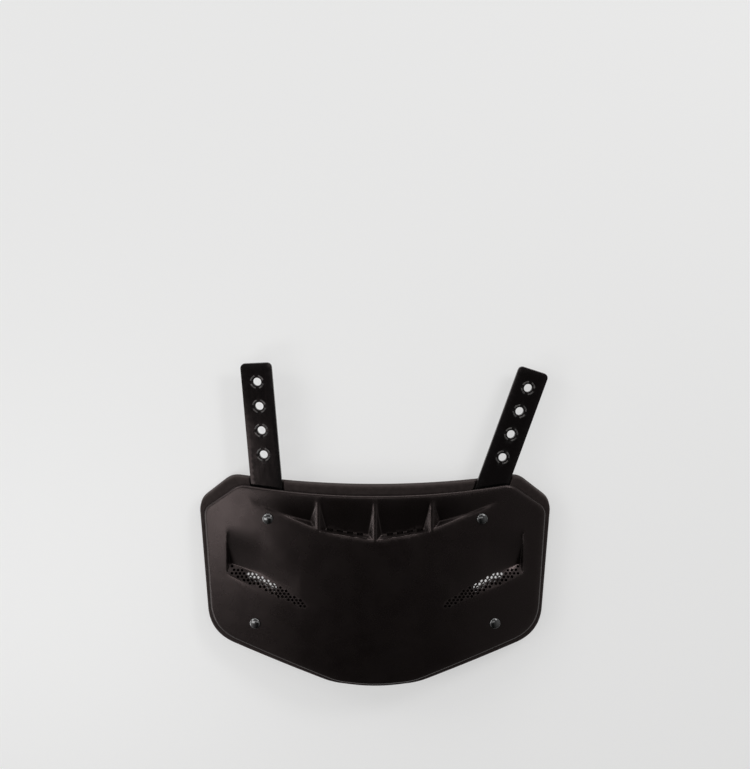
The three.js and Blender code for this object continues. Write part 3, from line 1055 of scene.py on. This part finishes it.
def seat(x, y):
    """The frame at a rivet, in metres."""
    slope_x, slope_y = slopes(x, y)
    turn = Vector((0, 0, 1)).rotation_difference(Vector((-slope_x, -slope_y, 1)))
    place = Vector((x, y + SHIFT_Y, plain_shell_back(x, y)))
    return Matrix.Translation(place * MM) @ turn.to_matrix().to_4x4()


seats = {name: seat(*place) for name, place in RIVETS.items()}
strap_frames = {name: seats[rivet] @ Matrix.Rotation(math.radians(lean), 4, "Z")
                for name, (rivet, lean) in STRAP_LEAN.items()}
print({name: [round(v / MM, 1) for v in m.translation] for name, m in seats.items()})

# %% [markdown]
# ## The foam pad
# Behind the shell lies a slab of closed-cell foam that stands proud of it all round and touches the
# wearer. It is die-cut and keeps its shape, so it needs no cloth simulation: it is one more plate, with
# softer edges. Its front makes room for the scoops and has a channel for each strap, its back is sunk
# round every rivet, and windows behind the vents let the air through.

# %% Pad surfaces
CHANNEL_EDGE = 0.5
SINK_RADIUS = 6.3
SINK_DEPTH = 3.0
SINK_EDGE = 0.6
SINK_SIDES = 64
SCOOP_ROOM = WALL + 1.0


def under_strap(matrix, x, y):
    """Distance outside a strap's outline in plan, and the height of its channel's floor."""
    origin = matrix.translation / MM
    across, along, normal = (np.array(matrix.col[i].xyz) for i in range(3))
    dx, dy = x - origin.x, y + SHIFT_Y - origin.y
    dz = (STRAP_BACK - GAP - normal[0] * dx - normal[1] * dy) / normal[2]
    u, v = (axis[0] * dx + axis[1] * dy + axis[2] * dz for axis in (across, along))
    sideways = np.where(v > 0, np.abs(u), np.hypot(u, v))
    return sideways - STRAP_WIDTH / 2 - STRAP_ROOM, origin.z + dz


def pad_front(x, y):
    height = plain_pad_back(x, y) + PAD_THICK - scoops(x, y, SCOOP_ROOM)
    for matrix in strap_frames.values():
        outside, floor = under_strap(matrix, x, y)
        height += step_share(outside, CHANNEL_EDGE) * np.minimum(floor - height, 0)
    return height


def pad_back(x, y):
    height = plain_pad_back(x, y)
    for rivet in RIVETS.values():
        at_x, at_y = on_axis(rivet, SINK_DEPTH / 2 - PAD_THICK - GAP)
        height += SINK_DEPTH * step_share(np.hypot(x - at_x, y - at_y) - SINK_RADIUS, SINK_EDGE)
    return np.maximum(height, 0)

# %% Pad
PAD_ROUND = 2.0
WINDOW_ROUND = 1.0
PAD_FIELD = 2.4
PAD_LEAN = Lean(10.5, 2.5)
CHANNEL_REACH = 70.0
WINDOW = [
    Corner(109.5, 2.4, 2.5),
    Corner(109.5, -4.1, 2.5),
    Corner(97.5, -6.9, 4),
    Corner(84, -14.4, 2.5),
    Corner(84, -8, 2.5),
    Corner(97.5, -0.4, 4),
]


def channel_line(matrix):
    """The border of a strap's channel in plan: up one side, round the foot and up the other side."""
    half = STRAP_WIDTH / 2 + STRAP_ROOM
    along = np.arange(0, CHANNEL_REACH, CREASE_STEP)
    turn = np.arange(math.pi, 2 * math.pi, CREASE_STEP / half)
    u = np.concatenate([np.full(len(along), -half), half * np.cos(turn), np.full(len(along), half)])
    v = np.concatenate([along[::-1], half * np.sin(turn), along])
    local = np.stack([u, v, np.full(len(u), STRAP_FRONT), np.full(len(u), 1 / MM)], 1)
    return (local * MM @ np.array(matrix).T)[:, :2] / MM - (0, SHIFT_Y)


right_window = rounded_loop(WINDOW)[::-1]
left_window = right_window[::-1] * (-1, 1)
windows = [Edge(loop, WINDOW_ROUND) for loop in (right_window, left_window)]
sink_lines = [circle_loop(*place, SINK_RADIUS, SINK_SIDES) for place in RIVETS.values()]
pad_lines = sink_lines + [channel_line(matrix) for matrix in strap_frames.values()]
pad_lines += [line for rows in SCOOPS for line in crease_lines(rows, SCOOP_ROOM)]
pad_edges = [Edge(pad_loop, PAD_ROUND), *windows, *rivet_holes]
pad_plate = plate(pad_edges, strands(pad_lines), PAD_FIELD, pad_front, pad_back, PAD_LEAN)
pad = new_piece("foam_backing", in_frame(pad_plate.points), pad_plate.faces)
smooth(pad)
pad.data.materials.append(PAD_FOAM)
report(pad)

# %% [markdown]
# ## The straps
# Two flat strips of stiff plastic sit between shell and pad and carry the plate. Each has a row of screw
# holes, and round every hole stand four short raised arcs that grip the screw's washer. The strip is
# another plate, flat this time. The arcs repeat round each hole and along the row, so a tree sweeps one
# arc, turns it round a hole, repeats that along the strip and joins it all to the strip as one body.

# %% Strap strips
STRAP_EDGE = 0.5
STRAP_FIELD = 3.0
STRAP_HOLE = {"Radius": 3.5, "Count": 4, "First": 54.5, "Pitch": 21.0}


def arc_points(x, y, radius, start, end, steps):
    """Points on an arc round a centre."""
    turn = np.linspace(start, end, steps)
    return np.stack([x + radius * np.cos(turn), y + radius * np.sin(turn)], 1)


def strap_loop():
    """A strip with a round foot under its rivet and two small corners at the top, anticlockwise."""
    half = STRAP_WIDTH / 2
    foot = arc_points(0, 0, half, math.pi, 2 * math.pi, 2 * CORNER_STEPS)
    middle = half - STRAP_CORNER, STRAP_ABOVE - STRAP_CORNER
    right = arc_points(*middle, STRAP_CORNER, 0, math.pi / 2, CORNER_STEPS)
    return even_loop(np.vstack([foot, right, right[::-1] * (-1, 1)]), LOOP_STEP)


def level(height):
    """A flat surface at one height."""
    return lambda x, y: np.full(len(x), height)


def strap_plate():
    centres = [STRAP_HOLE["First"] + i * STRAP_HOLE["Pitch"] for i in range(STRAP_HOLE["Count"])]
    holes = [hole(0, y, STRAP_HOLE["Radius"], 2 * HOLE_SIDES) for y in centres]
    edges = [Edge(strap_loop(), STRAP_EDGE), hole(0, 0, RIVET_HOLE), *holes]
    return plate(edges, np.zeros((0, 2)), STRAP_FIELD, level(STRAP_FRONT), level(STRAP_BACK))


strip = strap_plate()
print("plain strip:", len(strip.faces), "faces,", np.ptp(strip.points, 0).round(1), "mm")

# %% Raised arcs
ARC = {
    "Inner Radius": 4.6 * MM,
    "Outer Radius": 6.1 * MM,
    "Rise": ARC_RISE * MM,
    "Root": 0.6 * MM,
    "Sweep": math.radians(58),
    "Arcs": 4,
}
ARC_STEPS = 12
ARC_ROUND = {"Count": 5, "Radius": 0.7 * MM}


def arc_tree():
    values = {**ARC, "Holes": 1, "First Hole": Vector(), "Hole Step": Vector()}
    tree, given = start_tree("raised_arcs", values)
    width = calculate(tree, "SUBTRACT", given["Outer Radius"], given["Inner Radius"])
    middle = calculate(tree, "ADD", given["Inner Radius"], calculate(tree, "DIVIDE", width, 2))
    height = calculate(tree, "ADD", given["Rise"], given["Root"])
    block = shape(tree, "CurvePrimitiveQuadrilateral", {"Width": width, "Height": height})
    profile = shape(tree, "FilletCurve", {"Curve": block, **ARC_ROUND}, mode="POLY")
    apart = calculate(tree, "DIVIDE", 2 * math.pi, given["Arcs"])
    half_gap = calculate(tree, "DIVIDE", calculate(tree, "SUBTRACT", apart, given["Sweep"]), 2)
    sweep = {"Resolution": ARC_STEPS, "Start Angle": half_gap, "Sweep Angle": given["Sweep"]}
    path = shape(tree, "CurveArc", {**sweep, "Radius": middle}, mode="RADIUS")
    arc = shape(tree, "CurveToMesh", {"Curve": path, "Profile Curve": profile, "Fill Caps": True})
    hub = shape(tree, "MeshLine", {"Count": given["Arcs"], "Offset": (0, 0, 0)}, mode="OFFSET")
    turn = about_z(tree, calculate(tree, "MULTIPLY", shape(tree, "InputIndex"), apart))
    ring = shape(tree, "InstanceOnPoints", {"Points": hub, "Instance": arc, "Rotation": turn})
    line = {"Count": given["Holes"], "Start Location": given["First Hole"], "Offset": given["Hole Step"]}
    row = shape(tree, "MeshLine", line, mode="OFFSET")
    rings = shape(tree, "InstanceOnPoints", {"Points": row, "Instance": ring})
    end_tree(tree, combine(tree, "UNION", given["Geometry"], [rings]), given["Material"])
    return tree


ARC_TREE = arc_tree()
arc_middle = STRAP_FRONT * MM + (ARC["Rise"] - ARC["Root"]) / 2
arc_values = {
    **ARC,
    "Holes": STRAP_HOLE["Count"],
    "First Hole": [0, STRAP_HOLE["First"] * MM, arc_middle],
    "Hole Step": [0, STRAP_HOLE["Pitch"] * MM, 0],
    "Material": STRAP_PLASTIC,
}
straps = {}
for name, matrix in strap_frames.items():
    strap = new_piece(f"drilled_{name}", strip.points * MM, strip.faces)
    run_tree(strap, ARC_TREE, arc_values)
    place = strap.data.attributes.new("strap_place", "FLOAT_VECTOR", "POINT")
    place.data.foreach_set("vector", vectors(strap.data.vertices, "co").astype(np.float32).ravel())
    strap.data.transform(matrix)
    smooth_with_wear(strap)
    straps[name] = strap
    report(strap)

# %% [markdown]
# ## The rivets
# Four domed rivets clamp the stack: the upper pair through the straps, the lower pair through shell and
# pad. A rivet is a turned shape, so its half profile is swept round a circle, which is Geometry Nodes'
# way to turn on a lathe. A swept profile comes out hanging, so the tree turns it upright. Each finished
# mesh is then moved onto its seat, where it stands along the seat's normal.

# %% Rivet profile
RIVET_TAIL = 5.5
TAIL_THICK = 1.2
RIVET_SHANK = 2.4
RIVET_HEAD = 4.7
RIVET_DOME = 2.3
RIVET_BRIM = 0.5
DOME_STEPS = 12
BREAK = 0.25


def rivet_profile():
    """Half profile of a rivet as radius and height over the seat, from its tail to the top of its dome."""
    tail, head = -GAP - PAD_THICK + SINK_DEPTH - GAP, WALL + GAP
    foot = tail - TAIL_THICK
    profile = [(0, foot), (RIVET_TAIL - BREAK, foot), (RIVET_TAIL, foot + BREAK), (RIVET_TAIL, tail)]
    profile += [(RIVET_SHANK, tail), (RIVET_SHANK, head), (RIVET_HEAD - BREAK / 2, head)]
    for turn in np.linspace(0, math.pi / 2, DOME_STEPS):
        rise = RIVET_BRIM + (RIVET_DOME - RIVET_BRIM) * math.sin(turn)
        profile.append((RIVET_HEAD * math.cos(turn), head + rise))
    return np.array(profile)


profile = rivet_profile()
print("rivet", round(np.ptp(profile[:, 1]), 1), "mm long from tail to dome")

# %% Turned rivets
LATHE = {"Lathe Radius": RIVET_SHANK * MM, "Sides": 48}
MERGE = 1e-5


def lathe_tree():
    tree, given = start_tree("turned_rivet", LATHE)
    circle = {"Resolution": given["Sides"], "Radius": given["Lathe Radius"]}
    path = shape(tree, "CurvePrimitiveCircle", circle, mode="RADIUS")
    half = shape(tree, "MeshToCurve", {"Mesh": given["Geometry"]})
    turned = shape(tree, "CurveToMesh", {"Curve": path, "Profile Curve": half})
    upright = shape(tree, "Transform", {"Geometry": turned, "Rotation": (math.pi, 0, 0)})
    closed = shape(tree, "MergeByDistance", {"Geometry": upright, "Distance": MERGE})
    end_tree(tree, closed, given["Material"])
    return tree


LATHE_TREE = lathe_tree()
points = [((radius - RIVET_SHANK) * MM, height * MM, 0) for radius, height in profile]
edges = [(i, i + 1) for i in range(len(points) - 1)]
rivets = {}
for name, matrix in seats.items():
    rivet = new_piece(f"domed_{name}", points, [], edges)
    run_tree(rivet, LATHE_TREE, {**LATHE, "Material": RIVET_METAL})
    rivet.data.transform(matrix)
    smooth_with_wear(rivet)
    rivets[name] = rivet
    report(rivet)

# %% [markdown]
# ## Floor and light
# Black plastic shows its shape by what it mirrors, so the room is dark overhead, where the face looks,
# and bright at the left, beyond the straps and, higher up, at the right. A small softbox close by lights
# the left of the face and its rivets, and a long faint one overhead lights the feet of the straps. A low
# window at the left draws the walls of the ribs, a strip beyond the straps draws the top edges and
# ledges, and two more boxes put small lights on the rivets and arcs. The pale floor glows, so that it
# shows through the vents.

# %% Floor
FLOOR_SIZE = 12.0
FLOOR_PALE = (0.45, 0.45, 0.448)
FLOOR_GLOW = 1.1
FLOOR_DULL = {"Roughness": 0.9, "Specular IOR Level": 0.1}

corners = [(x * FLOOR_SIZE, y * FLOOR_SIZE, 0) for x, y in ((-1, -1), (1, -1), (1, 1), (-1, 1))]
floor = new_piece("floor", corners, [(0, 1, 2, 3)])
floor_material, floor_nodes, floor_shader, _ = start_material("pale_floor")
floor_colour = (*FLOOR_PALE, 1)
fill(floor_nodes, floor_shader, {"Base Color": floor_colour, **FLOOR_DULL})
fill(floor_nodes, floor_shader, {"Emission Color": floor_colour, "Emission Strength": FLOOR_GLOW})
floor.data.materials.append(floor_material)
print("floor", 2 * FLOOR_SIZE, "m wide")

# %% Lights
Softbox = namedtuple("Softbox", "name place aim size power")
SOFTBOXES = [
    Softbox("left_light", (-0.365, -0.087, 0.35), (-0.12, -0.087, 0.0), (0.13, 0.22), 0.28),
    Softbox("left_window", (-2.0, -0.5, 0.17), (0, 0, 0), (1.5, 0.3), 6.0),
    Softbox("upper_left_light", (-1.13, 0.72, 0.69), (0, 0, 0), (0.5, 0.5), 3.5),
    Softbox("upper_right_light", (0.86, 0.86, 0.9), (0, 0, 0), (0.5, 0.3), 4.5),
    Softbox("top_light", (0.0, 0.035, 1.0), (0, 0.035, 0), (0.9, 0.2), 0.8),
    Softbox("far_strip", (0.0, 1.5, 0.22), (0, 0, 0), (2.0, 0.25), 6.0),
]
LEFT_LIGHT = 0.8
RIGHT_LIGHT = 0.95
FAR_LIGHT = 0.8
OVERHEAD_LIGHT = 0.005

for box in SOFTBOXES:
    light = bpy.data.lights.new(box.name, "AREA")
    light.shape = "RECTANGLE"
    light.size, light.size_y = box.size
    light.energy = box.power
    lamp = bpy.data.objects.new(box.name, light)
    lamp.location = box.place
    lamp.rotation_euler = (Vector(box.aim) - lamp.location).to_track_quat("-Z", "Y").to_euler()
    lamp.visible_camera = False
    bpy.context.scene.collection.objects.link(lamp)

room = bpy.data.worlds.new("room")
bpy.context.scene.world = room
room.use_nodes = True
room_nodes = room.node_tree
direction = add_node(room_nodes, "ShaderNodeTexCoord").outputs["Generated"]
axes = add_node(room_nodes, "ShaderNodeSeparateXYZ", {0: direction}).outputs
left = calculate(room_nodes, "MINIMUM", axes["X"], 0)
right = calculate(room_nodes, "MAXIMUM", axes["X"], 0)
beyond = calculate(room_nodes, "MAXIMUM", axes["Y"], 0)
raised = calculate(room_nodes, "MULTIPLY", right, calculate(room_nodes, "MAXIMUM", axes["Z"], 0))
strength = OVERHEAD_LIGHT
glows = [(left, left, LEFT_LIGHT), (right, raised, RIGHT_LIGHT), (beyond, beyond, FAR_LIGHT)]
for one, two, light in glows:
    share = calculate(room_nodes, "MULTIPLY", one, two)
    strength = calculate(room_nodes, "MULTIPLY_ADD", share, light, strength)
fill(room_nodes, room_nodes.nodes["Background"], {"Color": (1, 1, 1, 1), "Strength": strength})
bpy.context.scene.view_settings.view_transform = "Standard"
print(len(SOFTBOXES), "softboxes, room", LEFT_LIGHT, "at the left and", OVERHEAD_LIGHT, "overhead")

# %% [markdown]
# ## Hand the pieces over
# The part has no joints, so every piece rides on the one body, root. Each piece stands for its solid,
# which is hidden.

# %% Hand over
standing_for = {"shell": (shell, "shell"), "foam_pad": (pad, "foam")}
standing_for.update({name: (piece, "strap") for name, piece in straps.items()})
standing_for.update({name: (piece, "rivet") for name, piece in rivets.items()})
for node, (piece, slot) in standing_for.items():
    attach(piece, "root")
    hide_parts(node)
